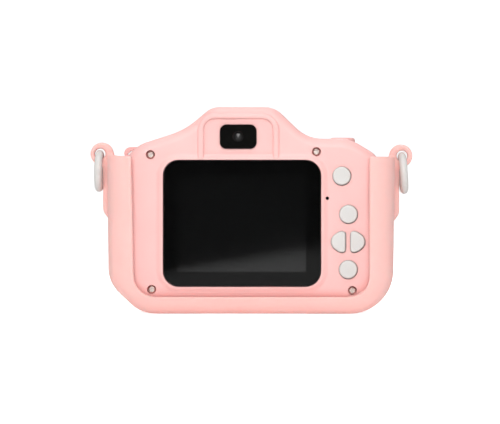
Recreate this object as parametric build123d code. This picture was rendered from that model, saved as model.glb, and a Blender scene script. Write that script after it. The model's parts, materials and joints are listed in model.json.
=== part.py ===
from build123d import *
import math
import os

# A child's digital camera in a soft silicone sleeve, in millimetres.
# X runs to the right as the person holding the camera sees its back, +Y points out of the lens and
# +Z is up. The origin is on the floor, under the middle of the whole camera.
# Outlines are drawn on planes that face -Y, where sketch x is world X and sketch y is world Z.

# ---------------------------------------------------------------- driving dimensions
BACK_FACE = -17.5        # y of the body's back face
BODY_DEPTH = 26.0
BODY_HALF_WIDTH = 41.7
BODY_BOTTOM = 2.6
HUMP_TOP = 65.6
WALL = 2.0
BACK_EDGE_RADIUS = 3.0   # along the top
BACK_SIDE_RADIUS = 5.2   # along the sides and the floor
FRONT_EDGE_RADIUS = 4.0
JOINT_GAP = 0.1          # parting gap between the two shells

SLEEVE_HALF_WIDTH = 45.85
SLEEVE_TOP_LEFT, SLEEVE_TOP_RIGHT = 50.4, 49.7     # the soft sleeve sits a little lower on the right
SLEEVE_FIT = 0.2         # gap between the sleeve and the body
SLEEVE_FRONT_WALL = 2.2
LIP_THICKNESS = 3.2
LIP_ROLL_RADIUS = 8.2
LIP_LIFT = 0.9           # how far the lip's free edge stands off the body

SCREEN_X, SCREEN_Z = -2.75, 28.56
SCREEN_WIDTH, SCREEN_HEIGHT, SCREEN_CORNER = 50.0, 40.1, 5.0
SURROUND_SIDE, SURROUND_END, SURROUND_SLOPE, SURROUND_RISE = 2.3, 2.0, 1.8, 0.65
SURROUND_STEPS = 7       # flats that make up the surround's S-shaped slope
DISPLAY_WIDTH, DISPLAY_HEIGHT = 40.8, 30.6          # lit area of a two inch 4:3 display

FINDER_X, FINDER_Z = -3.95, 56.0
FINDER_WIDTH, FINDER_HEIGHT, FINDER_CORNER = 11.6, 7.6, 2.0
ARCH_LEFT, ARCH_RIGHT, ARCH_TOP, ARCH_RISE = -16.9, 9.05, 63.5, 0.7
ARCH_SIDE, ARCH_CROWN, ARCH_RECESS = 2.1, 1.8, 0.35       # rim widths, and how deep the panel inside lies

LENS_X, LENS_Z = -2.7, 28.5
BARREL_RADIUS, BARREL_WALL, BARREL_LENGTH = 18.5, 2.0, 8.0
LENS_RING_LENGTH = 4.4

CAP_RISE = 1.2           # how far a back button stands out of the back face
CAP_GAP = 0.18           # mean gap between a button and its hole
CAP_SAG = (0.09, -0.09)  # the holes sit a little right of and below the caps
CAP_TRAVEL = 0.4
ROUND_CAP_RADIUS = 2.86
SHUTTER_X, SHUTTER_RADIUS, SHUTTER_TOP = 29.3, 4.1, 56.1

# The sleeve's loops and what hangs in them; the values in braces are for the left and the right.
LOOP_X, LOOP_RADIUS, LOOP_THICKNESS = 48.1, 3.75, 3.2
LOOP_Z = {-1: 50.9, 1: 50.2}
RIB_X = {-1: 47.75, 1: 47.6}
RIB_FOOT = {-1: 32.3, 1: 31.6}
RING_HOLE_X, RING_HOLE_RADIUS = {-1: 48.72, 1: 48.5}, 1.75
RING_HINGE_X = {-1: 48.85, 1: 48.45}
RING_RADIUS, RING_WIRE_RADIUS = 5.5, 1.25
RING_LEAN = {-1: 1.3, 1: 4.0}                      # degrees outward, where the rib lets it rest
SOLE_DEPTH = 0.25        # the sleeve's sole reaches this far below z = 0, so all the nodes are raised by it

# ---------------------------------------------------------------- values worked out from them
FRONT_FACE = BACK_FACE + BODY_DEPTH
MIDDLE = BACK_FACE + BODY_DEPTH / 2                 # y of the parting plane
BACK_INSIDE = BACK_FACE + WALL
FRONT_INSIDE = FRONT_FACE - WALL
SLEEVE_BACK = BACK_FACE - SLEEVE_FIT - LIP_THICKNESS
SLEEVE_FRONT = FRONT_FACE + SLEEVE_FIT + SLEEVE_FRONT_WALL
SLEEVE_MIDDLE = (SLEEVE_BACK + SLEEVE_FRONT) / 2
BARREL_END = FRONT_FACE + BARREL_LENGTH

# Layers behind the back wall, from the back to the front.
WINDOW_SEAT = BACK_FACE + 0.85
WINDOW_THICKNESS = 1.2
BORDER_THICKNESS = 0.15
GASKET_THICKNESS = 0.6
DISPLAY_BACK = BACK_INSIDE + GASKET_THICKNESS
DISPLAY_THICKNESS = 2.3
BOARD_BACK = -10.8
BOARD_FRONT = BOARD_BACK + 1.2
DISPLAY_X, DISPLAY_Z = SCREEN_X - 0.2, SCREEN_Z - 0.1
PANEL_X, PANEL_WIDTH, PANEL_HEIGHT = DISPLAY_X - 0.6, 47.0, 35.0

# Buttons and the switches under them.
CAP_OUTSIDE = BACK_FACE - CAP_RISE
FLANGE_BACK = BACK_INSIDE + 0.2
FLANGE_THICKNESS = 0.8
FLANGE_MARGIN = 0.6
STEM_LENGTH = 0.6
SWITCH_SIDE, SWITCH_HEIGHT = 4.5, 1.8
PLUNGER_RADIUS, PLUNGER_LENGTH = 1.0, 1.9
PLUNGER_BACK = FLANGE_BACK + FLANGE_THICKNESS + STEM_LENGTH
D_CAP_FLAT, D_CAP_TIP, D_CAP_HALF_HEIGHT = 1.3, 3.25, 3.3
D_CAP_Z, D_CAP_LEFT_FLAT, D_CAP_RIGHT_FLAT = 22.75, 29.97, 31.52

# name: (cap centre x, z, side of the flat for a D-shaped cap, switch centre x)
BACK_BUTTONS = {
    "menu": (28.77, 43.6, None, 28.77),
    "up": (30.88, 31.5, None, 30.88),
    "left": (D_CAP_LEFT_FLAT - D_CAP_FLAT, D_CAP_Z, 1, 28.2),
    "right": (D_CAP_RIGHT_FLAT + D_CAP_FLAT, D_CAP_Z, -1, 33.4),
    "down": (30.8, 14.0, None, 30.8),
}

CASE_SCREWS = [(-31.77, 50.33), (20.8, 51.25), (-31.4, 7.6), (32.2, 7.3)]
CASE_HEAD_RADIUS, CASE_SHANK_RADIUS, CASE_SCREW_LENGTH = 1.12, 0.8, 17.0
CASE_BORE_RADIUS = 1.45
CASE_SEAT = BACK_FACE + 2.5
POST_RADIUS = 2.8
BOARD_SCREWS = [(-36.0, 38.0), (-36.4, 18.0), (36.9, 43.6), (24.0, 9.5)]
BOARD_HEAD_RADIUS, BOARD_SHANK_RADIUS, BOARD_SCREW_LENGTH = 1.5, 0.75, 3.6
MICROPHONE_X, MICROPHONE_Z, MICROPHONE_HOLE = 24.27, 36.52, 0.55

SHUTTER_FLANGE_TOP = 50.7
SHUTTER_STEM_END = 48.3
SHUTTER_BOARD_TOP = SHUTTER_STEM_END - (PLUNGER_LENGTH - 0.6) - SWITCH_HEIGHT

PORT_X, CARD_X = -10.0, 8.5
PORT_Y = BOARD_FRONT + 1.63
CARD_Y = BOARD_FRONT + 0.95
SPEAKER_X, SPEAKER_Y, SPEAKER_RADIUS, SPEAKER_HEIGHT = 22.0, -0.8, 6.5, 3.4
BATTERY_X, BATTERY_Z, BATTERY_WIDTH, BATTERY_HEIGHT, BATTERY_DEPTH = -14.0, 31.2, 38.0, 22.0, 5.0
TAPE_THICKNESS = 0.4
FLASH_Z = 58.0


# ---------------------------------------------------------------- helpers
def facing_back(y):
    """The plane at depth y that faces -Y, with sketch x along X and sketch y along Z."""
    return Plane(origin=(0, y, 0), x_dir=(1, 0, 0), z_dir=(0, -1, 0))


def slab(sketch, y_back, y_front, taper=0):
    """The sketch as a solid between two depths. A taper narrows it towards the back."""
    return extrude(facing_back(y_front) * sketch, amount=y_front - y_back, taper=taper)


def at(x, z, sketch):
    return Pos(x, z) * sketch


def block(x0, x1, y0, y1, z0, z1):
    middle = Pos((x0 + x1) / 2, (y0 + y1) / 2, (z0 + z1) / 2)
    return middle * Box(x1 - x0, y1 - y0, z1 - z0)


def rod_y(x, z, radius, y0, y1):
    """A round bar along Y."""
    return slab(at(x, z, Circle(radius)), y0, y1)


def rod_z(x, y, radius, z0, z1):
    """A round bar along Z."""
    return Pos(x, y, (z0 + z1) / 2) * Cylinder(radius, z1 - z0)


def outline(corners):
    """A closed outline from (x, z, corner radius) triples."""
    points = [(x, z) for x, z, _ in corners]
    radii = [radius for _, _, radius in corners]
    return make_face(FilletPolyline(*points, radius=radii, close=True))


def edges_at_depth(solid, y):
    return solid.edges().filter_by(lambda e: abs(e.bounding_box().min.Y - y) < 1e-3
                                   and abs(e.bounding_box().max.Y - y) < 1e-3)


def turned_on_lens_axis(profile):
    """A ring from (radius, depth) points, turned about the lens axis."""
    plane = Plane(origin=(LENS_X, 0, LENS_Z), x_dir=(1, 0, 0), z_dir=(0, 0, 1))
    face = plane * make_face(Polyline(*profile, close=True))
    return revolve(face, Axis((LENS_X, 0, LENS_Z), (0, 1, 0)), 360)


def ribbon(path, width_from, width_to, thickness=0.2):
    """A flat flex cable: a (y, z, radius) path, as wide as the span along X."""
    points = [(y, z) for y, z, _ in path]
    radii = [radius for _, _, radius in path[1:-1]]
    strip = trace(FilletPolyline(*points, radius=radii), thickness)
    plane = Plane(origin=(width_from, 0, 0), x_dir=(0, 1, 0), z_dir=(1, 0, 0))
    return extrude(plane * strip, amount=width_to - width_from)


def lead(points, bend_radius, wire_radius):
    """A thin insulated wire along straight runs and tangent arcs."""
    path = FilletPolyline(*points, radius=bend_radius)
    start = Plane(origin=path @ 0, z_dir=path % 0)
    return sweep(start * Circle(wire_radius), path=path)


def group(solids):
    """Several separate solids in one node."""
    return Compound([s for shape in solids for s in shape.solids()])


# ---------------------------------------------------------------- camera body
def body_outline():
    """The body seen from behind: a low left shoulder, the hump, and a higher right shoulder."""
    side, floor = BODY_HALF_WIDTH, BODY_BOTTOM
    return outline([
        (-side, floor, 12.0),
        (side, floor, 12.0),
        (side, 49.2, 8.0),
        (31.5, 55.5, 14.0),
        (18.0, 55.5, 12.0),
        (7.5, HUMP_TOP, 8.0),
        (-12.3, HUMP_TOP, 6.5),
        (-21.0, 58.3, 24.0),
        (-side, 51.7, 13.0),
    ])


def body_solid(grow=0.0):
    """The body's outer form. Its back edge is rounder along the sides and the floor than at the top."""
    sketch = offset(body_outline(), grow) if grow else body_outline()
    solid = slab(sketch, BACK_FACE - grow, FRONT_FACE + grow)
    solid = fillet(edges_at_depth(solid, BACK_FACE - grow), BACK_EDGE_RADIUS)
    solid = fillet(edges_at_depth(solid, FRONT_FACE + grow), FRONT_EDGE_RADIUS)
    side, floor, above = BODY_HALF_WIDTH + grow, BODY_BOTTOM - grow, HUMP_TOP + 20
    trough = outline([(-side, floor, 12.0 + grow), (side, floor, 12.0 + grow), (side, above, 1.0),
                      (-side, above, 1.0)])
    trough = slab(trough, BACK_FACE - grow, FRONT_FACE + grow)
    rim = edges_at_depth(trough, BACK_FACE - grow).filter_by(
        lambda e: e.bounding_box().min.Z < HUMP_TOP)
    return solid & fillet(rim, BACK_SIDE_RADIUS)


def body_cavity():
    return slab(offset(body_outline(), -WALL), BACK_INSIDE, FRONT_INSIDE)


def back_half():
    return block(-60, 60, BACK_FACE - 5, MIDDLE - JOINT_GAP / 2, -5, 80)


def front_half():
    return block(-60, 60, MIDDLE + JOINT_GAP / 2, FRONT_FACE + 30, -5, 80)


# The strap eyelet is a small ear that stands out of the front shell's left shoulder.
EYELET_X, EYELET_Z, EYELET_RADIUS = -39.05, 51.1, 2.05
EYELET_BACK, EYELET_FRONT = MIDDLE + 0.5, MIDDLE + 3.0


def strap_eyelet():
    ear = at(EYELET_X, EYELET_Z, Circle(EYELET_RADIUS))
    root = at(EYELET_X + 2.6, EYELET_Z - 0.1, Circle(EYELET_RADIUS + 0.1))
    hole = at(EYELET_X, EYELET_Z, Rot(0, 0, 40) * SlotOverall(1.9, 1.0))
    lug = slab(make_hull((ear + root).edges()) - hole, EYELET_BACK, EYELET_FRONT)
    return lug - body_cavity()


def shutter_collar():
    """Thickens the top wall round the shutter button's hole."""
    return rod_z(SHUTTER_X, MIDDLE, SHUTTER_RADIUS + 1.8, SHUTTER_FLANGE_TOP + 0.25, HUMP_TOP)


def shutter_hole():
    return rod_z(SHUTTER_X, MIDDLE, SHUTTER_RADIUS + CAP_GAP, SHUTTER_FLANGE_TOP - 2, HUMP_TOP)


def bottom_openings():
    """Charging port, memory card slot and speaker holes in the body's floor."""
    low, high = BODY_BOTTOM - 1, BODY_BOTTOM + WALL + 0.5
    port = Pos(PORT_X, PORT_Y, low) * extrude(SlotOverall(9.7, 4.0), amount=high - low)
    card = Pos(CARD_X, CARD_Y, low) * extrude(RectangleRounded(12.2, 1.7, 0.4), amount=high - low)
    return [port, card] + speaker_holes(0.6, low, high)


def speaker_holes(radius, low, high):
    spots = [(0, 0)] + [polar(2.8, 60 * k) for k in range(6)]
    return [rod_z(SPEAKER_X + dx, SPEAKER_Y + dy, radius, low, high) for dx, dy in spots]


def polar(radius, degrees):
    angle = math.radians(degrees)
    return radius * math.cos(angle), radius * math.sin(angle)


def shell_solid():
    solid = body_solid() - body_cavity()
    collar = shutter_collar() & body_solid()
    return solid + collar - shutter_hole() - bottom_openings()


# ---------------------------------------------------------------- back shell
def screen_surround():
    """The low raised border round the screen window, whose slope eases out of the back face."""
    def rim(part):
        inset, rise = SURROUND_SLOPE * part, SURROUND_RISE * (1 - math.cos(math.pi * part)) / 2
        sketch = at(SCREEN_X, SCREEN_Z, RectangleRounded(
            SCREEN_WIDTH + 2 * (SURROUND_SIDE - inset), SCREEN_HEIGHT + 2 * (SURROUND_END - inset),
            SCREEN_CORNER + SURROUND_END - inset))
        return (facing_back(BACK_FACE - rise) * sketch).face()

    raised = loft([rim(step / SURROUND_STEPS) for step in range(SURROUND_STEPS + 1)], ruled=True)
    return raised + extrude(rim(0), amount=-0.5)


def arch_sketches(foot):
    """The outer and inner outlines of the rim round the viewfinder, down to the height of its foot."""
    middle, width, height = (ARCH_LEFT + ARCH_RIGHT) / 2, ARCH_RIGHT - ARCH_LEFT, 30.0
    above = at(0, foot + 20, Rectangle(80, 40))
    outer = at(middle, ARCH_TOP - height / 2, RectangleRounded(width, height, 5.6))
    inner = at(middle, ARCH_TOP - ARCH_CROWN - height / 2,
               RectangleRounded(width - 2 * ARCH_SIDE, height, 3.4))
    return outer & above, inner & above


def finder_rim():
    """The arch-shaped rim round the viewfinder window, which runs into the surround's crest."""
    foot = SCREEN_Z + SCREEN_HEIGHT / 2 + SURROUND_END - SURROUND_SLOPE
    outer, inner = arch_sketches(foot)
    rim = slab(outer - inner, BACK_FACE - ARCH_RISE, BACK_FACE + 1.5)
    top_edges = edges_at_depth(rim, BACK_FACE - ARCH_RISE).filter_by(
        lambda e: e.bounding_box().max.Z > foot + 0.01)
    return fillet(top_edges, 0.7)


def finder_recess():
    """The shallow panel inside the arch."""
    _, inner = arch_sketches(SCREEN_Z + SCREEN_HEIGHT / 2 + SURROUND_END)
    return slab(inner, BACK_FACE - 1, BACK_FACE + ARCH_RECESS)


def cap_sketch(name, grow=0.0):
    """A back button's outline, grown by a margin: a circle, or a D with rounded corners."""
    x, z, flat_side, _ = BACK_BUTTONS[name]
    if flat_side is None:
        return at(x, z, Circle(ROUND_CAP_RADIUS + grow))
    half = D_CAP_HALF_HEIGHT
    upper = [(D_CAP_TIP, 1.3, 2.5), (0.7, half, 2.8), (-D_CAP_FLAT, half, 1.0)]
    lower = [(out, -up, radius) for out, up, radius in reversed(upper)]
    d_shape = outline(upper + lower)
    if grow:
        d_shape = offset(d_shape, grow)
    if flat_side > 0:
        d_shape = mirror(d_shape, Plane.YZ)
    return at(x, z, d_shape)


def back_shell():
    shell = shell_solid() & back_half()
    shell -= finder_recess()
    shell += finder_rim()
    shell += screen_surround()
    for x, z in CASE_SCREWS:
        shell += rod_y(x, z, POST_RADIUS, BACK_INSIDE - 0.5, MIDDLE - JOINT_GAP / 2) & body_solid()
    for x, z in BOARD_SCREWS:
        shell += rod_y(x, z, 2.0, BACK_INSIDE - 0.5, BOARD_BACK)
    for x, z in CASE_SCREWS:
        shell -= rod_y(x, z, CASE_BORE_RADIUS, BACK_FACE - 2, CASE_SEAT)
        shell -= rod_y(x, z, CASE_SHANK_RADIUS + 0.15, CASE_SEAT - 1, MIDDLE + 1)
    for x, z in BOARD_SCREWS:
        shell -= rod_y(x, z, BOARD_SHANK_RADIUS + 0.02, BOARD_BACK - 3.5, BOARD_BACK + 1)
    window = RectangleRounded(SCREEN_WIDTH + 0.24, SCREEN_HEIGHT + 0.24, SCREEN_CORNER + 0.12)
    shell -= slab(at(SCREEN_X, SCREEN_Z, window), BACK_FACE - 3, WINDOW_SEAT)
    opening = RectangleRounded(DISPLAY_WIDTH + 2.7, DISPLAY_HEIGHT + 2.6, 1.0)
    shell -= slab(at(DISPLAY_X, DISPLAY_Z, opening), BACK_FACE, BACK_INSIDE + 1)
    finder = RectangleRounded(FINDER_WIDTH + 0.2, FINDER_HEIGHT + 0.2, FINDER_CORNER + 0.1)
    shell -= slab(at(FINDER_X, FINDER_Z, finder), BACK_FACE - 3, WINDOW_SEAT)
    shell -= rod_y(FINDER_X, FINDER_Z, 2.6, BACK_FACE, BACK_INSIDE + 1)
    for name in BACK_BUTTONS:
        shell -= slab(at(*CAP_SAG, cap_sketch(name, CAP_GAP)), BACK_FACE - 3, BACK_INSIDE + 1)
    shell -= rod_y(MICROPHONE_X, MICROPHONE_Z, MICROPHONE_HOLE, BACK_FACE - 3, BACK_INSIDE + 1)
    return shell


def screen_window():
    sketch = RectangleRounded(SCREEN_WIDTH, SCREEN_HEIGHT, SCREEN_CORNER)
    seat = WINDOW_SEAT - BORDER_THICKNESS
    glass = slab(at(SCREEN_X, SCREEN_Z, sketch), seat - WINDOW_THICKNESS, seat)
    return chamfer(edges_at_depth(glass, seat - WINDOW_THICKNESS), 0.2)


def window_border():
    """The black printed and glued border under the window, open over the lit area."""
    sketch = RectangleRounded(SCREEN_WIDTH - 0.4, SCREEN_HEIGHT - 0.4, SCREEN_CORNER - 0.2)
    lit = Pos(DISPLAY_X - SCREEN_X, DISPLAY_Z - SCREEN_Z) * Rectangle(DISPLAY_WIDTH, DISPLAY_HEIGHT)
    return slab(at(SCREEN_X, SCREEN_Z, sketch - lit), WINDOW_SEAT - BORDER_THICKNESS, WINDOW_SEAT)


def finder_window():
    """The glossy black plate of the viewfinder, with a hole for the rear camera's lens."""
    sketch = RectangleRounded(FINDER_WIDTH, FINDER_HEIGHT, FINDER_CORNER) - Circle(1.65)
    plate = slab(at(FINDER_X, FINDER_Z, sketch), WINDOW_SEAT - 1.2, WINDOW_SEAT)
    return chamfer(edges_at_depth(plate, WINDOW_SEAT - 1.2), 0.15)


# ---------------------------------------------------------------- front shell and lens
def front_shell():
    shell = shell_solid() & front_half()
    barrel_inside = BARREL_RADIUS - BARREL_WALL
    shell += rod_y(LENS_X, LENS_Z, BARREL_RADIUS, FRONT_INSIDE, BARREL_END)
    shell -= rod_y(LENS_X, LENS_Z, barrel_inside, FRONT_FACE, BARREL_END + 1)
    shell -= rod_y(LENS_X, LENS_Z, 4.6, FRONT_INSIDE - 1, FRONT_FACE + 1)
    for x, z in CASE_SCREWS:
        post = rod_y(x, z, POST_RADIUS, MIDDLE + JOINT_GAP / 2, FRONT_INSIDE + 0.5)
        shell += post & body_solid()
    pilot_end = CASE_SEAT + CASE_SCREW_LENGTH + 0.6
    for x, z in CASE_SCREWS:
        shell -= rod_y(x, z, CASE_SHANK_RADIUS + 0.02, MIDDLE - 1, pilot_end)
    shelf_top = SHUTTER_BOARD_TOP - 1.0
    shell += block(23.2, 34.6, MIDDLE + JOINT_GAP / 2, FRONT_INSIDE + 0.5, shelf_top - 1.8, shelf_top)
    shell -= rod_z(24.9, -2.6, BOARD_SHANK_RADIUS + 0.02, shelf_top - 3, shelf_top + 1)
    flash_seat = RectangleRounded(9.2, 5.7, 1.6)
    shell -= slab(at(LENS_X, FLASH_Z, flash_seat), FRONT_FACE - 1.0, FRONT_FACE + 1)
    flash_hole = RectangleRounded(6.5, 3.6, 0.8)
    shell -= slab(at(LENS_X, FLASH_Z, flash_hole), FRONT_INSIDE - 1, FRONT_FACE)
    return shell + strap_eyelet()


def lens_ring():
    """The ring that closes the barrel, with a spigot inside it and a bevelled nose."""
    outside, spigot, bore = BARREL_RADIUS, BARREL_RADIUS - BARREL_WALL - 0.1, 15.05
    end = BARREL_END + LENS_RING_LENGTH
    return turned_on_lens_axis([
        (bore, BARREL_END - 4), (spigot, BARREL_END - 4), (spigot, BARREL_END),
        (outside, BARREL_END), (outside, end - 1.7), (outside - 1.2, end),
        (outside - 2.6, end), (outside - 4.2, end - 1.3), (outside - 4.2, end - 1.7),
        (bore, end - 1.7),
    ])


def lens_cover():
    y = BARREL_END + LENS_RING_LENGTH - 1.7
    return rod_y(LENS_X, LENS_Z, 14.95, y - 1.2, y)


def lens_bezel():
    """The black stepped funnel between the clear cover and the camera module."""
    back = FRONT_FACE + 0.1
    front = BARREL_END + LENS_RING_LENGTH - 2.9
    step = (front - back - 3.4) / 3
    profile = [(4.6, back), (14.9, back), (14.9, front), (13.9, front)]
    for k in range(3):
        radius = 12.6 - 2.6 * k
        depth = front - step * (k + 1)
        profile += [(radius, depth), (radius - 1.7, depth)]
    profile += [(4.6, back + 2.6)]
    return turned_on_lens_axis(profile)


def front_camera_module():
    base = block(LENS_X - 4.4, LENS_X + 4.4, FRONT_INSIDE - 3.6, FRONT_INSIDE,
                 LENS_Z - 4.4, LENS_Z + 4.4)
    barrel = rod_y(LENS_X, LENS_Z, 4.0, FRONT_INSIDE, FRONT_FACE + 3.5)
    seat = rod_y(LENS_X, LENS_Z, 2.9, FRONT_FACE + 2.8, FRONT_FACE + 4)
    return base + barrel - seat


def dome(x, z, radius, y_flat, rise):
    """A shallow lens: a disc 0.3 thick with a spherical face that rises from its rim."""
    height = abs(rise)
    sphere_radius = (radius ** 2 + height ** 2) / (2 * height)
    latitude = math.degrees(math.asin(1 - height / sphere_radius))
    cap = Pos(0, 0, height - sphere_radius) * Sphere(sphere_radius, latitude, 90, align=None)
    disc = Pos(0, 0, -0.15) * Cylinder(radius, 0.3)
    seat = Plane(origin=(x, y_flat, z), x_dir=(1, 0, 0), z_dir=(0, math.copysign(1, rise), 0))
    return seat.location * (cap + disc)


def front_camera_lens():
    return dome(LENS_X, LENS_Z, 2.85, FRONT_FACE + 3.1, 0.7)


def flash_window():
    sketch = at(LENS_X, FLASH_Z, RectangleRounded(9.0, 5.5, 1.5))
    plate = slab(sketch, FRONT_FACE - 1.0, FRONT_FACE + 0.3)
    return chamfer(edges_at_depth(plate, FRONT_FACE + 0.3), 0.25)


def flash_board():
    return block(LENS_X - 4.5, LENS_X + 4.5, FRONT_INSIDE - 2.6, FRONT_INSIDE - 1.6,
                 FLASH_Z - 3.2, FLASH_Z + 3.2)


def flash_emitter():
    low = FRONT_INSIDE - 1.6
    return block(LENS_X - 1.75, LENS_X + 1.75, low, low + 1.2, FLASH_Z - 1.4, FLASH_Z + 1.4)


# ---------------------------------------------------------------- display and rear camera
def display_gasket():
    sketch = at(PANEL_X, DISPLAY_Z, RectangleRounded(PANEL_WIDTH - 0.4, PANEL_HEIGHT - 0.2, 0.6))
    opening = at(DISPLAY_X, DISPLAY_Z, Rectangle(DISPLAY_WIDTH + 2.9, DISPLAY_HEIGHT + 2.8))
    return slab(sketch - opening, BACK_INSIDE, DISPLAY_BACK)


def display_panel():
    sketch = at(PANEL_X, DISPLAY_Z, RectangleRounded(PANEL_WIDTH, PANEL_HEIGHT, 0.5))
    return slab(sketch, DISPLAY_BACK, DISPLAY_BACK + DISPLAY_THICKNESS)


def display_pad():
    sketch = at(PANEL_X, DISPLAY_Z, RectangleRounded(PANEL_WIDTH - 5, PANEL_HEIGHT - 5, 1.0))
    return slab(sketch, DISPLAY_BACK + DISPLAY_THICKNESS, BOARD_BACK)


DISPLAY_FLEX_END = -30.0


def display_flex():
    """From the panel's left edge round to its connector on the board, in the plane of X and Y."""
    start_x, start_y, end_y = PANEL_X - PANEL_WIDTH / 2, DISPLAY_BACK + 1.6, BOARD_BACK - 0.6
    path = FilletPolyline((start_x, start_y), (start_x - 1.5, start_y), (start_x - 1.9, end_y),
                          (DISPLAY_FLEX_END, end_y), radius=[0.7, 0.7])
    return Pos(0, 0, DISPLAY_Z - 6) * extrude(trace(path, 0.2), amount=12)


def rear_camera_module():
    base = block(FINDER_X - 3.6, FINDER_X + 3.6, BACK_INSIDE, BACK_INSIDE + 3.5,
                 FINDER_Z - 3.6, FINDER_Z + 3.6)
    return base + rod_y(FINDER_X, FINDER_Z, 2.45, WINDOW_SEAT + 0.3, BACK_INSIDE)


def rear_camera_lens():
    return dome(FINDER_X, FINDER_Z, 1.55, WINDOW_SEAT - 0.1, -0.45)


# ---------------------------------------------------------------- buttons and switches
def back_button(name):
    """A cap with a flange that keeps it in the shell, and a stem that meets the switch plunger."""
    cap = slab(cap_sketch(name), CAP_OUTSIDE, FLANGE_BACK + 0.2)
    cap = fillet(edges_at_depth(cap, CAP_OUTSIDE), 0.55)
    flange = slab(cap_sketch(name, FLANGE_MARGIN), FLANGE_BACK, FLANGE_BACK + FLANGE_THICKNESS)
    _, z, _, switch_x = BACK_BUTTONS[name]
    stem = rod_y(switch_x, z, 1.3, FLANGE_BACK + 0.2, PLUNGER_BACK)
    return cap + flange + stem


def back_plunger(name):
    _, z, _, switch_x = BACK_BUTTONS[name]
    return rod_y(switch_x, z, PLUNGER_RADIUS, PLUNGER_BACK, PLUNGER_BACK + PLUNGER_LENGTH)


def back_switch(name):
    _, z, _, x = BACK_BUTTONS[name]
    half = SWITCH_SIDE / 2
    housing = block(x - half, x + half, BOARD_BACK - SWITCH_HEIGHT, BOARD_BACK, z - half, z + half)
    bore_end = BOARD_BACK - SWITCH_HEIGHT + 1.4
    return housing - rod_y(x, z, PLUNGER_RADIUS + 0.06, BOARD_BACK - SWITCH_HEIGHT - 1, bore_end)


def shutter_button():
    cap = rod_z(SHUTTER_X, MIDDLE, SHUTTER_RADIUS, SHUTTER_FLANGE_TOP - 0.2, SHUTTER_TOP)
    cap = fillet(cap.edges().filter_by(lambda e: e.center().Z > SHUTTER_TOP - 0.1), 0.9)
    flange = rod_z(SHUTTER_X, MIDDLE, SHUTTER_RADIUS + FLANGE_MARGIN,
                   SHUTTER_FLANGE_TOP - FLANGE_THICKNESS, SHUTTER_FLANGE_TOP)
    stem = rod_z(SHUTTER_X, MIDDLE, 1.5, SHUTTER_STEM_END, SHUTTER_FLANGE_TOP - 0.2)
    return cap + flange + stem


def shutter_plunger():
    return rod_z(SHUTTER_X, MIDDLE, PLUNGER_RADIUS, SHUTTER_STEM_END - PLUNGER_LENGTH, SHUTTER_STEM_END)


def shutter_switch():
    half, top = SWITCH_SIDE / 2, SHUTTER_BOARD_TOP + SWITCH_HEIGHT
    housing = block(SHUTTER_X - half, SHUTTER_X + half, MIDDLE - half, MIDDLE + half,
                    SHUTTER_BOARD_TOP, top)
    return housing - rod_z(SHUTTER_X, MIDDLE, PLUNGER_RADIUS + 0.06, top - 1.4, top + 1)


def shutter_board():
    board = block(23.4, 34.4, -8.4, -0.6, SHUTTER_BOARD_TOP - 1.0, SHUTTER_BOARD_TOP)
    return board - rod_z(24.9, -2.6, BOARD_SHANK_RADIUS + 0.1, 40, 50)


# ---------------------------------------------------------------- circuit board and what is on it
def main_board():
    sketch = at(0, 26.15, RectangleRounded(78.6, 42.3, 9.0))
    for x, z in CASE_SCREWS:
        sketch -= at(x, z, Circle(POST_RADIUS + 0.5))
    for x, z in BOARD_SCREWS:
        sketch -= at(x, z, Circle(BOARD_SHANK_RADIUS + 0.1))
    return slab(sketch, BOARD_BACK, BOARD_FRONT)


def on_board(x, z, width, height, thickness):
    """A component on the board's front side."""
    return block(x - width / 2, x + width / 2, BOARD_FRONT, BOARD_FRONT + thickness,
                 z - height / 2, z + height / 2)


def main_processor():
    chip = on_board(24.0, 30.0, 11.0, 11.0, 1.1)
    return chamfer(edges_at_depth(chip, BOARD_FRONT + 1.1), 0.15)


def board_chips():
    """Memory, power controller, crystal and a row of chip capacitors."""
    chips = [
        on_board(34.6, 25.0, 5.2, 7.6, 1.4),
        on_board(20.5, 18.6, 4.0, 4.0, 0.9),
        on_board(33.6, 34.6, 3.2, 2.5, 0.8),
    ]
    chips += [on_board(18.6 + 1.7 * k, 38.6, 0.8, 1.6, 0.7) for k in range(6)]
    return group(chips)


def flex_connectors():
    """The sockets of the front camera, rear camera and display flex cables."""
    front = on_board(LENS_X, 14.0, 5.0, 2.8, 1.2)
    rear = on_board(FINDER_X, 44.6, 5.0, 2.4, 1.2)
    display = block(DISPLAY_FLEX_END - 3.6, DISPLAY_FLEX_END, BOARD_BACK - 1.2, BOARD_BACK,
                    DISPLAY_Z - 6.6, DISPLAY_Z + 6.6)
    return group([front, rear, display])


def microphone():
    return rod_y(MICROPHONE_X, MICROPHONE_Z, 2.0, BOARD_BACK - 1.5, BOARD_BACK)


def charging_port():
    """A sheet-metal port shell with its contact tongue; the mouth points down."""
    mouth, depth = BODY_BOTTOM + 0.5, 7.3
    body = extrude(RectangleRounded(8.94, 3.24, 1.55), amount=depth)
    inside = extrude(RectangleRounded(8.34, 2.56, 1.27), amount=depth - 1.0)
    tongue = Pos(0, 0, 0.8) * extrude(Rectangle(6.6, 0.7), amount=depth - 1.2)
    return Pos(PORT_X, PORT_Y, mouth) * (body - inside + tongue)


def card_socket():
    low, length = BODY_BOTTOM + WALL + 0.4, 14.4
    body = Pos(CARD_X, CARD_Y, low + length / 2) * Box(14.0, 1.86, length)
    return body - Pos(CARD_X, CARD_Y, low + 6.5) * Box(11.3, 0.95, 13.2)


def board_screw(head):
    """A pan head with a cross recess, its head at the origin and its shank along -Z."""
    disc = Pos(0, 0, 0.5) * Cylinder(head, 1.0)
    disc = fillet(disc.edges().filter_by(lambda e: e.center().Z > 0.9), 0.35)
    shank = Pos(0, 0, -BOARD_SCREW_LENGTH / 2) * Cylinder(BOARD_SHANK_RADIUS, BOARD_SCREW_LENGTH)
    return disc + shank - cross_recess(head, 1.0)


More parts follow.
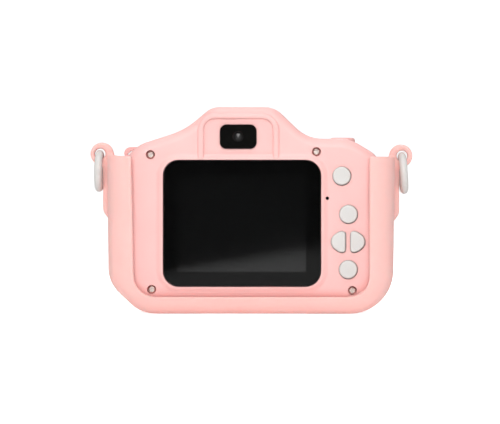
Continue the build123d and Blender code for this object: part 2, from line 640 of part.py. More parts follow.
def cross_recess(head, top):
    arm = Pos(0, 0, top) * Box(head * 1.4, 0.45, 1.1)
    return arm + Rot(0, 0, 90) * arm


def board_screws():
    toward_front = Plane(origin=(0, 0, 0), x_dir=(1, 0, 0), z_dir=(0, 1, 0)).location
    screws = [Pos(x, BOARD_FRONT, z) * toward_front * board_screw(BOARD_HEAD_RADIUS)
              for x, z in BOARD_SCREWS]
    screws.append(Pos(24.9, -2.6, SHUTTER_BOARD_TOP) * board_screw(1.3))
    return group(screws)


def case_screws():
    """Four cross-recess screws that enter from the back and bite in the front shell's posts."""
    toward_back = Plane(origin=(0, 0, 0), x_dir=(1, 0, 0), z_dir=(0, -1, 0)).location
    head = Pos(0, 0, 0.6) * Cylinder(CASE_HEAD_RADIUS, 1.2)
    head = fillet(head.edges().filter_by(lambda e: e.center().Z > 1.1), 0.4)
    shank = Pos(0, 0, -CASE_SCREW_LENGTH / 2) * Cylinder(CASE_SHANK_RADIUS, CASE_SCREW_LENGTH)
    tip = chamfer(shank.edges().filter_by(lambda e: e.center().Z < 1 - CASE_SCREW_LENGTH), 0.6)
    screw = head + tip - cross_recess(CASE_HEAD_RADIUS, 1.2)
    angles = [20, 55, 5, 75]
    return group([Pos(x, CASE_SEAT, z) * toward_back * Rot(0, 0, angle) * screw
                  for (x, z), angle in zip(CASE_SCREWS, angles)])


# ---------------------------------------------------------------- power, sound and wiring
def battery():
    back = BOARD_FRONT + TAPE_THICKNESS
    pouch = block(BATTERY_X - BATTERY_WIDTH / 2, BATTERY_X + BATTERY_WIDTH / 2,
                  back, back + BATTERY_DEPTH,
                  BATTERY_Z - BATTERY_HEIGHT / 2, BATTERY_Z + BATTERY_HEIGHT / 2)
    return fillet(pouch.edges().filter_by(Axis.X), 1.6)


def battery_tape():
    return block(BATTERY_X - 13, BATTERY_X + 13, BOARD_FRONT, BOARD_FRONT + TAPE_THICKNESS,
                 BATTERY_Z - 7, BATTERY_Z + 7)


PLUG_X, PLUG_Z = 14.0, 39.0


def battery_plug():
    return on_board(PLUG_X, PLUG_Z - 1.2, 5.0, 5.6, 3.4)


def battery_leads():
    start_x, y = BATTERY_X + BATTERY_WIDTH / 2, BOARD_FRONT + 2.4
    wires = []
    for z in (PLUG_Z - 2.3, PLUG_Z - 0.3):
        route = [(start_x, y, z), (start_x + 2.2, y, z), (start_x + 4.4, y - 0.7, z),
                 (PLUG_X - 2.5, y - 0.7, z)]
        wires.append(lead(route, 1.2, 0.5))
    return group(wires)


def speaker():
    low = BODY_BOTTOM + WALL
    basket = rod_z(SPEAKER_X, SPEAKER_Y, SPEAKER_RADIUS, low, low + SPEAKER_HEIGHT)
    return basket - rod_z(SPEAKER_X, SPEAKER_Y, 5.5, low - 1, low + 1.2)


def speaker_cone():
    low = BODY_BOTTOM + WALL + 0.5
    disc = rod_z(SPEAKER_X, SPEAKER_Y, 5.4, low, low + 0.6)
    return fillet(disc.edges().filter_by(lambda e: e.center().Z < low + 0.1), 0.3)


def speaker_leads():
    top = BODY_BOTTOM + WALL + SPEAKER_HEIGHT
    wires = []
    for x in (19.6, 21.0):
        route = [(x, 2.2, top), (x, 2.2, top + 4.2), (x, -3.4, top + 6.4), (x, BOARD_FRONT, top + 6.0)]
        wires.append(lead(route, 2.0, 0.4))
    return group(wires)


def shutter_leads():
    wires = []
    for x in (32.0, 33.2):
        low = SHUTTER_BOARD_TOP - 1.0
        route = [(x, -7.4, low), (x, -7.4, low - 3.4), (x, BOARD_FRONT, low - 3.4)]
        wires.append(lead(route, 1.2, 0.3))
    return group(wires)


def flash_leads():
    start_y = FRONT_INSIDE - 2.6
    wires = []
    for dz in (0.0, 1.2):
        route = [(-5.9, start_y, 56.6 + dz), (-5.9, 0.6, 56.6 + dz), (-9.6 - dz, -5.0, 45.6),
                 (-9.6 - dz, BOARD_FRONT, 45.6)]
        wires.append(lead(route, 2.0, 0.3))
    return group(wires)


def front_camera_flex():
    back = FRONT_INSIDE - 3.7
    path = [(back, LENS_Z + 3, 0), (back, 10.4, 3.0), (-3.0, 7.0, 3.0), (-9.0, 8.4, 1.6),
            (-9.0, 12.6, 0)]
    return ribbon(path, LENS_X - 2.2, LENS_X + 2.2)


def rear_camera_flex():
    front = BACK_INSIDE + 3.6
    path = [(front, FINDER_Z + 2.5, 0), (front, 51.4, 2.0), (-9.0, 49.4, 2.0), (-9.0, 45.8, 0)]
    return ribbon(path, FINDER_X - 2.2, FINDER_X + 2.2)


# ---------------------------------------------------------------- silicone sleeve and rings
def sleeve_outline():
    """The outside of the sleeve: the sides draw in a little downwards and the left corner is flatter."""
    side, foot, high = SLEEVE_HALF_WIDTH, SLEEVE_HALF_WIDTH - 0.6, SLEEVE_TOP_LEFT + 10
    sole = -SOLE_DEPTH
    return outline([(-foot - 0.2, 9.7, 10.5), (-35.1, sole, 11.5), (foot, sole, 13.9), (side, high, 0.5),
                    (-side, high, 0.5)])


def above_sleeve():
    """What is cut off above the sleeve's two ends. The left end slopes down towards the body."""
    slope, inner = 0.08, SLEEVE_HALF_WIDTH - 8.7
    left_edge = SLEEVE_TOP_LEFT + slope * (60 - SLEEVE_HALF_WIDTH)
    left_inner = SLEEVE_TOP_LEFT - slope * (SLEEVE_HALF_WIDTH - inner)
    corners = [(-60, left_edge), (-inner, left_inner), (inner, SLEEVE_TOP_RIGHT), (60, SLEEVE_TOP_RIGHT),
               (60, 90), (-60, 90)]
    return slab(make_face(Polyline(*corners, close=True)), SLEEVE_BACK - 1, SLEEVE_FRONT + 1)


def sleeve_back_opening():
    """The window in the back of the sleeve: open at the top, with rounded lower corners."""
    left, right, low = -36.75, 37.4, 5.35
    sketch = outline([(left, low, 6.8), (right, low, 6.3), (right, 80, 1), (left - 1.5, 80, 1)])
    return slab(sketch, SLEEVE_BACK - 1, BACK_FACE)


def lip_clearance():
    """The space under the lip, which touches the body only near the body's edge."""
    return slab(offset(body_outline(), -2.5), BACK_FACE - LIP_LIFT, BACK_FACE)


def sleeve_tab(side):
    """The loop at a top corner and the rib that carries it down the side wall."""
    wall, high = SLEEVE_HALF_WIDTH - 1.5, LOOP_Z[side]
    out = RIB_X[side]
    foot = RIB_FOOT[side]
    rib = outline([(out, high, 0.1), (out, foot, 2.5), (SLEEVE_HALF_WIDTH - 0.5, foot - 3.2, 0.1),
                   (wall, 29.4, 0.1), (wall, high - 1.5, 0.1), (wall + 1, high - 1.5, 0.1)])
    neck = at(SLEEVE_HALF_WIDTH - 0.3, high - 3.0, Rectangle(4.0, 3.0))
    sketch = rib + neck + at(LOOP_X, high, Circle(LOOP_RADIUS))
    if side < 0:
        sketch = mirror(sketch, Plane.YZ)
    half = LOOP_THICKNESS / 2
    return slab(sketch, SLEEVE_MIDDLE - half, SLEEVE_MIDDLE + half)


def port_window():
    sketch = RectangleRounded(35.0, 9.4, 2.6)
    return Pos(1.0, -8.1, -1) * extrude(sketch, amount=BODY_BOTTOM + 1)


def silicone_sleeve():
    arch = at(LENS_X, LENS_Z, Circle(24.5))
    outer = slab(sleeve_outline(), SLEEVE_BACK, SLEEVE_FRONT)
    for depth, radius in ((SLEEVE_BACK, LIP_ROLL_RADIUS), (SLEEVE_FRONT, 3.0)):
        rim = edges_at_depth(outer, depth).filter_by(
            lambda e: e.bounding_box().min.Z < SLEEVE_TOP_RIGHT - 1)
        outer = fillet(rim, radius)
    outer -= above_sleeve()
    outer += slab(arch, FRONT_FACE + SLEEVE_FIT, SLEEVE_FRONT)
    inside = BODY_HALF_WIDTH + SLEEVE_FIT
    above_body = block(-inside, inside, BACK_FACE - SLEEVE_FIT, FRONT_FACE + SLEEVE_FIT, 30, 80)
    sleeve = outer - body_solid(SLEEVE_FIT) - above_body - sleeve_back_opening() - lip_clearance()
    sleeve -= rod_y(LENS_X, LENS_Z, BARREL_RADIUS + 0.3, FRONT_FACE - 1, SLEEVE_FRONT + 1)
    sleeve -= port_window()
    sleeve -= speaker_holes(0.9, -1, BODY_BOTTOM + 1)
    for side in (-1, 1):
        sleeve += sleeve_tab(side)
        sleeve -= rod_y(side * RING_HOLE_X[side], LOOP_Z[side], RING_HOLE_RADIUS,
                        SLEEVE_MIDDLE - 5, SLEEVE_MIDDLE + 5)
    return sleeve


def carrying_ring(side):
    """A round ring that hangs through its loop and leans outward, where it rests on the rib."""
    hinge = Pos(side * RING_HINGE_X[side], SLEEVE_MIDDLE, LOOP_Z[side])
    ring = Pos(0, 0, -RING_RADIUS) * Rot(0, 90, 0) * Torus(RING_RADIUS, RING_WIRE_RADIUS)
    return hinge * Rot(0, -side * RING_LEAN[side], 0) * ring


# ---------------------------------------------------------------- all the nodes
PARTS = {
    "back_shell": back_shell,
    "front_shell": front_shell,
    "silicone_sleeve": silicone_sleeve,
    "left_carrying_ring": lambda: carrying_ring(-1),
    "right_carrying_ring": lambda: carrying_ring(1),
    "screen_window": screen_window,
    "window_border": window_border,
    "finder_window": finder_window,
    "rear_camera_module": rear_camera_module,
    "rear_camera_lens": rear_camera_lens,
    "rear_camera_flex": rear_camera_flex,
    "display_gasket": display_gasket,
    "display_panel": display_panel,
    "display_pad": display_pad,
    "display_flex": display_flex,
    "lens_ring": lens_ring,
    "lens_cover": lens_cover,
    "lens_bezel": lens_bezel,
    "front_camera_module": front_camera_module,
    "front_camera_lens": front_camera_lens,
    "front_camera_flex": front_camera_flex,
    "flash_window": flash_window,
    "flash_board": flash_board,
    "flash_emitter": flash_emitter,
    "flash_leads": flash_leads,
    "shutter_button": shutter_button,
    "shutter_plunger": shutter_plunger,
    "shutter_switch": shutter_switch,
    "shutter_board": shutter_board,
    "shutter_leads": shutter_leads,
    "main_board": main_board,
    "main_processor": main_processor,
    "board_chips": board_chips,
    "flex_connectors": flex_connectors,
    "microphone": microphone,
    "charging_port": charging_port,
    "card_socket": card_socket,
    "case_screws": case_screws,
    "board_screws": board_screws,
    "battery": battery,
    "battery_tape": battery_tape,
    "battery_plug": battery_plug,
    "battery_leads": battery_leads,
    "speaker": speaker,
    "speaker_cone": speaker_cone,
    "speaker_leads": speaker_leads,
    "back_switches": lambda: group([back_switch(name) for name in BACK_BUTTONS]),
}
for button in BACK_BUTTONS:
    PARTS[button + "_button"] = lambda name=button: back_button(name)
    PARTS[button + "_plunger"] = lambda name=button: back_plunger(name)

os.makedirs("parts", exist_ok=True)
for node, make in PARTS.items():
    export_step(Pos(0, 0, SOLE_DEPTH) * make(), f"parts/{node}.step")
print(len(PARTS), "nodes written")
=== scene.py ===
import json
import math

import bpy
import numpy as np
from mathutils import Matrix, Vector


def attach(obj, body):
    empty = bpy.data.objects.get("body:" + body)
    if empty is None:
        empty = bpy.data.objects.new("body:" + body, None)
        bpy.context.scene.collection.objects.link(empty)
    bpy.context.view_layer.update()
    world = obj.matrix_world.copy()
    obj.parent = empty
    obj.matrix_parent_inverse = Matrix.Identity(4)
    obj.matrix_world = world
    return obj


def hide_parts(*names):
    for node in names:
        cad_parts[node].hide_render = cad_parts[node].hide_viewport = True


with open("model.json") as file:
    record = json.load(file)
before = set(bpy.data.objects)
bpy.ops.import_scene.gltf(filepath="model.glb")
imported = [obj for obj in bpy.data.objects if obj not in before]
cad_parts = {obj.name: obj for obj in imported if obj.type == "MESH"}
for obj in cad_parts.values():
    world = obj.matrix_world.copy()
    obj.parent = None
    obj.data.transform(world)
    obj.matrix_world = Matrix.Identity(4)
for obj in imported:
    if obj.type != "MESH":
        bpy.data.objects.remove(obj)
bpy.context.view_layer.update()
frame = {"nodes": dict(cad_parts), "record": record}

MM = 0.001
scene = bpy.context.scene
nodes = frame["nodes"]


def link(thing, name):
    """A new object in the scene, from a mesh, light or camera."""
    made = bpy.data.objects.new(name, thing)
    scene.collection.objects.link(made)
    return made


# ---------------------------------------------------------------- camera
VIEW_WIDTH = 0.15825                       # metres across the picture at the body's back face
DISTANCE = 0.700
BACK_FACE = -17.5 * MM
AIM = Vector((-0.00022, BACK_FACE, 0.03241))
SIDE_STEP = 0.011

camera = link(bpy.data.cameras.new("camera"), "camera")
camera.data.sensor_width = 36
camera.data.lens = camera.data.sensor_width * DISTANCE / VIEW_WIDTH
camera.data.clip_start = 0.01
camera.location = AIM + Vector((SIDE_STEP, -DISTANCE, 0))
camera.rotation_euler = (AIM - camera.location).to_track_quat("-Z", "Y").to_euler()
scene.camera = camera
scene.view_settings.view_transform = "Standard"


# ---------------------------------------------------------------- material helper
class Look:
    """A Principled material with short calls for the nodes that feed it."""

    def __init__(self, name, **fixed):
        self.material = bpy.data.materials.new(name)
        self.material.use_nodes = True
        self.tree = self.material.node_tree
        self.shader = self.tree.nodes["Principled BSDF"]
        for key, value in fixed.items():
            self.shader.inputs[key.replace("_", " ")].default_value = value
        self.place = self.node("ShaderNodeTexCoord").outputs["Object"]

    def node(self, kind, values=None, **settings):
        made = self.tree.nodes.new(kind)
        for key, value in settings.items():
            setattr(made, key, value)
        for key, value in (values or {}).items():
            if isinstance(value, bpy.types.NodeSocket):
                self.tree.links.new(value, made.inputs[key])
            else:
                made.inputs[key].default_value = value
        return made

    def feed(self, socket, output):
        self.tree.links.new(output, self.shader.inputs[socket])

    def stretched(self, x, y, z):
        values = {0: self.place, 1: (x, y, z)}
        return self.node("ShaderNodeVectorMath", values, operation="MULTIPLY").outputs[0]

    def noise(self, scale, detail=2.0, place=None, roughness=0.5):
        values = {"Vector": place or self.place, "Scale": scale, "Detail": detail, "Roughness": roughness}
        return self.node("ShaderNodeTexNoise", values).outputs["Fac"]

    def cells(self, scale, place=None, feature="F1"):
        values = {"Vector": place or self.place, "Scale": scale}
        return self.node("ShaderNodeTexVoronoi", values, feature=feature).outputs["Distance"]

    def stripes(self, scale, direction):
        values = {"Vector": self.place, "Scale": scale}
        return self.node("ShaderNodeTexWave", values, bands_direction=direction).outputs["Fac"]

    def ramp(self, fac, *stops):
        made = self.node("ShaderNodeValToRGB", {"Fac": fac})
        elements = made.color_ramp.elements
        while len(elements) < len(stops):
            elements.new(0.5)
        for element, (position, colour) in zip(elements, stops):
            element.position = position
            element.color = (*colour, 1) if len(colour) == 3 else colour
        return made.outputs["Color"]

    def span(self, fac, low, high, start=0.0, end=1.0):
        values = {"Value": fac, "From Min": start, "From Max": end, "To Min": low, "To Max": high}
        return self.node("ShaderNodeMapRange", values).outputs["Result"]

    def math(self, operation, a, b=0.0):
        return self.node("ShaderNodeMath", {0: a, 1: b}, operation=operation).outputs[0]

    def mix(self, fac, a, b):
        made = self.node("ShaderNodeMix", data_type="RGBA")
        for index, value in ((0, fac), (6, a), (7, b)):
            if isinstance(value, bpy.types.NodeSocket):
                self.tree.links.new(value, made.inputs[index])
            else:
                made.inputs[index].default_value = (*value, 1) if index else value
        return made.outputs[2]

    def bump(self, height, strength, distance):
        values = {"Height": height, "Strength": strength, "Distance": distance}
        self.feed("Normal", self.node("ShaderNodeBump", values).outputs["Normal"])


def shade(colour, factor):
    return tuple(min(1.0, value * factor) for value in colour)


# ---------------------------------------------------------------- materials
def moulded(name, colour, roughness=0.38, mottle=0.03, grain=0.25, **fixed):
    """Injection-moulded plastic: faint cloudiness, a spark-eroded grain and uneven satin."""
    look = Look(name, **fixed)
    cloud = look.noise(70, 3)
    speck = look.noise(1500, 2)
    tone = look.math("ADD", look.math("MULTIPLY", cloud, 0.75), look.math("MULTIPLY", speck, 0.25))
    dark, light = shade(colour, 1 - mottle), shade(colour, 1 + mottle / 2)
    look.feed("Base Color", look.ramp(tone, (0.3, dark), (0.7, light)))
    look.feed("Roughness", look.span(look.noise(240, 3), roughness - 0.05, roughness + 0.06))
    look.bump(look.noise(5200, 2, roughness=0.6), grain, 0.00002)
    return look.material


def silicone():
    """Matt soft silicone: light passes through its thin rims, and it takes on a fine bloom."""
    look = Look("pink_silicone", Subsurface_Weight=0.25, Subsurface_Scale=1.0,
                Subsurface_Radius=(0.0030, 0.0010, 0.0008), IOR=1.41,
                Specular_IOR_Level=0.30, Sheen_Weight=0.03, Sheen_Roughness=0.55)
    colour = (0.885, 0.520, 0.483)
    cloud = look.noise(45, 4)
    dust = look.noise(2600, 2)
    tone = look.math("ADD", look.math("MULTIPLY", cloud, 0.8), look.math("MULTIPLY", dust, 0.2))
    look.feed("Base Color", look.ramp(tone, (0.3, shade(colour, 0.97)), (0.7, shade(colour, 1.015))))
    look.feed("Roughness", look.span(look.noise(160, 3), 0.50, 0.64))
    fine = look.math("MULTIPLY", look.noise(3800, 2), 0.3)
    look.bump(look.math("ADD", fine, look.noise(260, 2)), 0.25, 0.00006)
    return look.material


def clear(name, tint, roughness):
    """A clear hard window: a mirror-smooth face with the faintest haze."""
    look = Look(name, IOR=1.46, Transmission_Weight=0.9975)
    look.feed("Base Color", look.ramp(look.noise(60, 2), (0.3, shade(tint, 0.985)), (0.7, tint)))
    look.feed("Roughness", look.span(look.noise(400, 3), roughness * 0.7, roughness * 1.4))
    return look.material


def black_gloss(name, colour, roughness=0.08, ior=1.40):
    look = Look(name, IOR=ior)
    cloud = look.noise(90, 3)
    look.feed("Base Color", look.ramp(cloud, (0.3, shade(colour, 0.85)), (0.7, shade(colour, 1.15))))
    look.feed("Roughness", look.span(look.noise(500, 3), roughness * 0.8, roughness * 1.3))
    look.bump(look.noise(900, 2), 0.05, 0.00001)
    return look.material


def display():
    """A switched-off display: a dark polariser over a fine grid of dots."""
    look = Look("display_polariser", IOR=1.53)
    grid = look.math("MULTIPLY", look.stripes(1300.0, "X"), look.stripes(1300.0, "Z"))
    dark, light = (0.0010, 0.0010, 0.0009), (0.0016, 0.0016, 0.0015)
    look.feed("Base Color", look.ramp(grid, (0.1, dark), (0.9, light)))
    look.feed("Roughness", look.span(look.noise(300, 2), 0.05, 0.07))
    return look.material


def metal(name, colour, roughness, brushed=(1, 1, 1), worn=0.2):
    """Plated metal with fine drawn lines and slightly duller patches."""
    look = Look(name, Metallic=1.0)
    lines = look.noise(1800, 3, look.stretched(*brushed))
    patches = look.noise(500, 3)
    look.feed("Base Color", look.ramp(patches, (0.3, shade(colour, 1 - worn)), (0.7, colour)))
    look.feed("Roughness", look.span(lines, roughness - 0.08, roughness + 0.12))
    look.bump(lines, 0.12, 0.00002)
    return look.material


def circuit_board():
    """Solder mask over copper tracks, with round vias."""
    look = Look("green_solder_mask", IOR=1.5)
    flat = look.node("ShaderNodeMapping", {"Vector": look.place, "Rotation": (math.pi / 2, 0, 0)})
    tracks = look.node("ShaderNodeTexBrick", {
        "Vector": flat.outputs[0], "Scale": 260.0, "Mortar Size": 0.12, "Mortar Smooth": 0.2,
        "Color1": (0, 0, 0, 1), "Color2": (0.1, 0.1, 0.1, 1), "Mortar": (1, 1, 1, 1)}).outputs["Color"]
    vias = look.span(look.cells(330), 1.0, 0.0, 0.10, 0.16)
    mask = look.mix(look.noise(80, 3), (0.010, 0.095, 0.040), (0.014, 0.125, 0.052))
    tracked = look.mix(look.math("MULTIPLY", tracks, 0.5), mask, (0.030, 0.230, 0.090))
    look.feed("Base Color", look.mix(vias, tracked, (0.45, 0.33, 0.12)))
    look.feed("Roughness", look.span(look.noise(700, 2), 0.28, 0.40))
    look.bump(tracks, 0.3, 0.00005)
    return look.material


def flex_film():
    look = Look("amber_flex_film", IOR=1.6, Coat_Weight=0.3, Coat_Roughness=0.15)
    lines = look.stripes(420.0, "X")
    look.feed("Base Color", look.ramp(lines, (0.35, (0.42, 0.17, 0.025)), (0.65, (0.62, 0.33, 0.10))))
    look.feed("Roughness", look.span(look.noise(300, 2), 0.24, 0.36))
    look.bump(lines, 0.3, 0.00003)
    return look.material


def battery_foil():
    look = Look("battery_foil", Metallic=0.9)
    creases = look.cells(180, look.stretched(1, 1, 2.5), feature="DISTANCE_TO_EDGE")
    dark, light = (0.58, 0.58, 0.60), (0.70, 0.70, 0.71)
    look.feed("Base Color", look.ramp(look.noise(90, 3), (0.3, dark), (0.7, light)))
    look.feed("Roughness", look.span(look.noise(400, 3), 0.28, 0.44))
    look.bump(look.math("ADD", creases, look.noise(350, 3)), 0.35, 0.00010)
    return look.material


def porous(name, colour, cell_scale, depth):
    """Foam, tape and paper: a fine open texture that scatters light."""
    look = Look(name, IOR=1.4, Specular_IOR_Level=0.2)
    cells = look.cells(cell_scale)
    look.feed("Base Color", look.ramp(cells, (0.1, shade(colour, 0.7)), (0.6, shade(colour, 1.1))))
    look.feed("Roughness", look.span(look.noise(900, 2), 0.75, 0.95))
    look.bump(cells, 0.6, depth)
    return look.material


def wire_sheath():
    """Soft PVC, red on one conductor and black on the other."""
    look = Look("wire_sheath", IOR=1.52)
    split = look.span(look.noise(130, 1), 0, 1, 0.47, 0.53)
    look.feed("Base Color", look.mix(split, (0.016, 0.016, 0.017), (0.46, 0.022, 0.018)))
    look.feed("Roughness", look.span(look.noise(600, 2), 0.32, 0.46))
    look.bump(look.noise(2600, 2), 0.2, 0.00002)
    return look.material


PINK = (0.872, 0.498, 0.476)
KEY_WHITE = (0.630, 0.616, 0.596)
NEAR_BLACK = (0.022, 0.022, 0.023)
LOOKS = {
    "pink_plastic": moulded("pink_body_plastic", PINK, 0.40, Subsurface_Weight=0.08,
                            Subsurface_Radius=(0.0018, 0.0008, 0.0007), Subsurface_Scale=1.0),
    # Painted shade: the buttons use the body pink 2% darker, to tone down the rear lamp's light on the
    # shutter's top.
    "pink_button": moulded("pink_button_plastic", shade(PINK, 0.98), 0.36),
    "silicone": silicone(),
    "white_plastic": moulded("white_key_plastic", KEY_WHITE, 0.33, mottle=0.02, Subsurface_Weight=0.10,
                             Subsurface_Radius=(0.0012, 0.0010, 0.0008), Subsurface_Scale=1.0),
    "clear_window": clear("clear_window", (0.97, 0.98, 0.98), 0.02),
    "black_gloss": black_gloss("glossy_black", (0.0045, 0.0045, 0.0042), ior=1.50),
    "display_glass": display(),
    "lens_glass": black_gloss("coated_lens", (0.022, 0.021, 0.021), 0.24, 1.5),
    "diffuser": moulded("milky_diffuser", (0.84, 0.83, 0.79), 0.30, Transmission_Weight=0.15),
    "flash_phosphor": porous("yellow_phosphor", (0.82, 0.66, 0.12), 3000, 0.00002),
    "black_plastic": moulded("black_engineering_plastic", NEAR_BLACK, 0.48, mottle=0.12, grain=0.5),
    "plunger_plastic": moulded("grey_acetal", (0.22, 0.22, 0.23), 0.40, mottle=0.06),
    "circuit_board": circuit_board(),
    "flex_film": flex_film(),
    "steel": metal("nickel_plated_steel", (0.88, 0.80, 0.74), 0.45, (1, 1, 6)),
    "nickel": metal("plated_sheet", (0.66, 0.65, 0.63), 0.26, (6, 1, 1)),
    "battery_foil": battery_foil(),
    "tape": porous("double_sided_tape", (0.80, 0.77, 0.66), 1500, 0.00004),
    "foam": porous("closed_cell_foam", (0.030, 0.030, 0.032), 1400, 0.00012),
    "cone_film": black_gloss("cone_film", (0.035, 0.035, 0.036), 0.30, 1.5),
    "wire": wire_sheath(),
}
for row in frame["record"]["subparts"]:
    node = nodes[row["node"]]
    node.data.materials.clear()
    node.data.materials.append(LOOKS[row["material_slot"]])


# ---------------------------------------------------------------- the silicone sleeve
VOXEL = 0.45 * MM
LIP_FROM, LIP_TO = 17.6, 19.5              # mm towards the back, from the body's back face outwards
SIDE_FROM, SIDE_TO = 34, 37                # mm from the middle, where the lips at the sides begin
WAVE_DEPTH, WAVE_LENGTH = 0.08, 9.0        # mm, for the slack lips' small waves


def apply_modifiers(piece):
    graph = bpy.context.evaluated_depsgraph_get()
    mesh = bpy.data.meshes.new_from_object(piece.evaluated_get(graph))
    piece.modifiers.clear()
    piece.data = mesh


def points_of(mesh):
    flat = np.zeros(len(mesh.vertices) * 3)
    mesh.vertices.foreach_get("co", flat)
    return flat.reshape(-1, 3)


def smooth_step(value, low, high):
    t = np.clip((value - low) / (high - low), 0, 1)
    return t * t * (3 - 2 * t)


def soft_sleeve():
    """One soft skin with rounded rims: the CAD form, meshed evenly, relaxed and given its slack."""
    piece = link(nodes["silicone_sleeve"].data.copy(), "soft_silicone_sleeve")
    even = piece.modifiers.new("even", "REMESH")
    even.mode = "VOXEL"
    even.voxel_size = VOXEL
    relax = piece.modifiers.new("relax", "SMOOTH")
    relax.factor = 0.5
    relax.iterations = 6
    apply_modifiers(piece)
    mesh = piece.data
    p = points_of(mesh) / MM
    x, y, z = p.T
    lip = smooth_step(-y, LIP_FROM, LIP_TO) * smooth_step(np.abs(x), SIDE_FROM, SIDE_TO)
    # The lips are slightly wavy where they stand free of the body.
    y += lip * WAVE_DEPTH * (1 + np.sin(z / WAVE_LENGTH + np.sign(x)))
    mesh.vertices.foreach_set("co", (np.stack([x, y, z], 1) * MM).ravel())
    mesh.polygons.foreach_set("use_smooth", [True] * len(mesh.polygons))
    mesh.update()
    piece.data.materials.clear()
    piece.data.materials.append(LOOKS["silicone"])
    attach(piece, "camera")
    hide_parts("silicone_sleeve")


soft_sleeve()


# ---------------------------------------------------------------- floor, light and surroundings
def stage_material(name, build):
    material = bpy.data.materials.new(name)
    material.use_nodes = True
    build(material.node_tree)
    return material


CAMERA_GLOW, BOUNCE_GLOW = 0.75, 0.30      # the sweep's own glow as seen, and as it lights the object
MIRROR_NEAR, MIRROR_FAR = 0.42, 0.006      # its strength in reflections, close by and far off


def white_floor(tree):
    """A white sweep. In mirror-like reflections it shows a painted pool of light that fades with
    distance, as under one soft box.
    """
    new, join = tree.nodes.new, tree.links.new
    shader = tree.nodes["Principled BSDF"]
    shader.inputs["Base Color"].default_value = (0.90, 0.90, 0.90, 1)
    shader.inputs["Roughness"].default_value = 0.9
    shader.inputs["Specular IOR Level"].default_value = 0.1
    place = new("ShaderNodeSeparateXYZ")
    join(new("ShaderNodeTexCoord").outputs["Object"], place.inputs[0])

    def combine(operation, first, second):
        step = new("ShaderNodeMath")
        step.operation = operation
        for socket, value in zip(step.inputs, (first, second)):
            if isinstance(value, float):
                socket.default_value = value
            else:
                join(value, socket)
        return step.outputs[0]

    # The painted pool of light reaches further towards the camera on the right than on the left.
    edge = combine("MAXIMUM", combine("ADD", combine("MULTIPLY", place.outputs["X"], 8.0), 0.91), 0.08)
    reach = combine("DIVIDE", combine("MULTIPLY", place.outputs["Y"], -1.0), edge)
    fade = new("ShaderNodeMapRange")
    fade.interpolation_type = "SMOOTHSTEP"
    span = {"From Min": 0.55, "From Max": 1.5, "To Min": MIRROR_NEAR, "To Max": MIRROR_FAR}
    for key, value in span.items():
        fade.inputs[key].default_value = value
    join(reach, fade.inputs["Value"])
    # The painted pool of light: an emission seen only by mirror-like rays.
    glow = new("ShaderNodeEmission")
    join(fade.outputs["Result"], glow.inputs["Strength"])
    path = new("ShaderNodeLightPath")
    lift = new("ShaderNodeMapRange")
    lift.inputs["To Min"].default_value = BOUNCE_GLOW
    lift.inputs["To Max"].default_value = CAMERA_GLOW
    join(path.outputs["Is Camera Ray"], lift.inputs["Value"])
    shader.inputs["Emission Color"].default_value = (1, 1, 1, 1)
    join(lift.outputs["Result"], shader.inputs["Emission Strength"])
    mixed = new("ShaderNodeMixShader")
    join(path.outputs["Is Glossy Ray"], mixed.inputs["Fac"])
    join(shader.outputs[0], mixed.inputs[1])
    join(glow.outputs[0], mixed.inputs[2])
    join(mixed.outputs[0], tree.nodes["Material Output"].inputs["Surface"])


BEND_STEPS = 12


def sweep_mesh(half, depth_back, rise, bend):
    """A floor that curves up into a backdrop behind the object."""
    profile = [(-2.6, 0.0), (0.0, 0.0), (depth_back - bend, 0.0)]
    for k in range(1, BEND_STEPS + 1):
        a = math.pi / 2 * k / BEND_STEPS
        profile.append((depth_back - bend + bend * math.sin(a), bend - bend * math.cos(a)))
    profile.append((depth_back, rise))
    mesh = bpy.data.meshes.new("sweep")
    vertices = [(side * half, y, z) for y, z in profile for side in (-1, 1)]
    faces = [(2 * k, 2 * k + 1, 2 * k + 3, 2 * k + 2) for k in range(len(profile) - 1)]
    mesh.from_pydata(vertices, [], faces)
    mesh.polygons.foreach_set("use_smooth", [True] * len(faces))
    return mesh


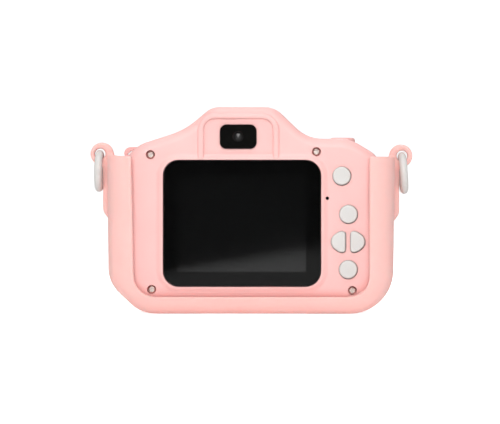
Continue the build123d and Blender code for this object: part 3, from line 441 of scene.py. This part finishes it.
floor = link(sweep_mesh(half=3.0, depth_back=2.8, rise=2.4, bend=0.8), "sweep")
floor.data.materials.append(stage_material("white_sweep", white_floor))


LIGHT_AIM = Vector((0, 0, 0.03))


def soft_box(name, place, size, energy):
    lamp = bpy.data.lights.new(name, "AREA")
    lamp.energy = energy
    lamp.size = size
    box = link(lamp, name)
    box.location = place
    box.rotation_euler = (LIGHT_AIM - box.location).to_track_quat("-Z", "Y").to_euler()
    box.visible_camera = False


soft_box("overhead", (-0.08, -0.20, 1.10), 0.9, 5.6)
soft_box("front", (-0.03, -1.15, 0.60), 0.7, 9.9)
soft_box("rear", (0.0, 0.9, 0.9), 0.8, 3.0)


EVEN_LIGHT = 0.22
WHITE_ROOM, DARK_END = 0.60, 0.006         # what reflections see around the object


def surroundings(tree):
    """White to the camera, a weak even light on surfaces, and in reflections a white room with a dark
    end on the side that the back of the object faces."""
    new, join = tree.nodes.new, tree.links.new
    path = new("ShaderNodeLightPath")
    heading = new("ShaderNodeSeparateXYZ")
    join(new("ShaderNodeTexCoord").outputs["Generated"], heading.inputs[0])
    room = new("ShaderNodeMapRange")
    room.interpolation_type = "SMOOTHSTEP"
    span = {"From Min": -0.92, "From Max": -0.45, "To Min": DARK_END, "To Max": WHITE_ROOM}
    for key, value in span.items():
        room.inputs[key].default_value = value
    join(heading.outputs["Y"], room.inputs["Value"])
    dim = new("ShaderNodeMixRGB")
    dim.inputs["Color1"].default_value = (EVEN_LIGHT, EVEN_LIGHT, EVEN_LIGHT, 1)
    join(path.outputs["Is Glossy Ray"], dim.inputs["Fac"])
    join(room.outputs["Result"], dim.inputs["Color2"])
    seen = new("ShaderNodeMixRGB")
    seen.inputs["Color2"].default_value = (1.1, 1.1, 1.1, 1)
    join(path.outputs["Is Camera Ray"], seen.inputs["Fac"])
    join(dim.outputs["Color"], seen.inputs["Color1"])
    join(seen.outputs["Color"], tree.nodes["Background"].inputs["Color"])


scene.world = bpy.data.worlds.new("studio")
scene.world.use_nodes = True
surroundings(scene.world.node_tree)
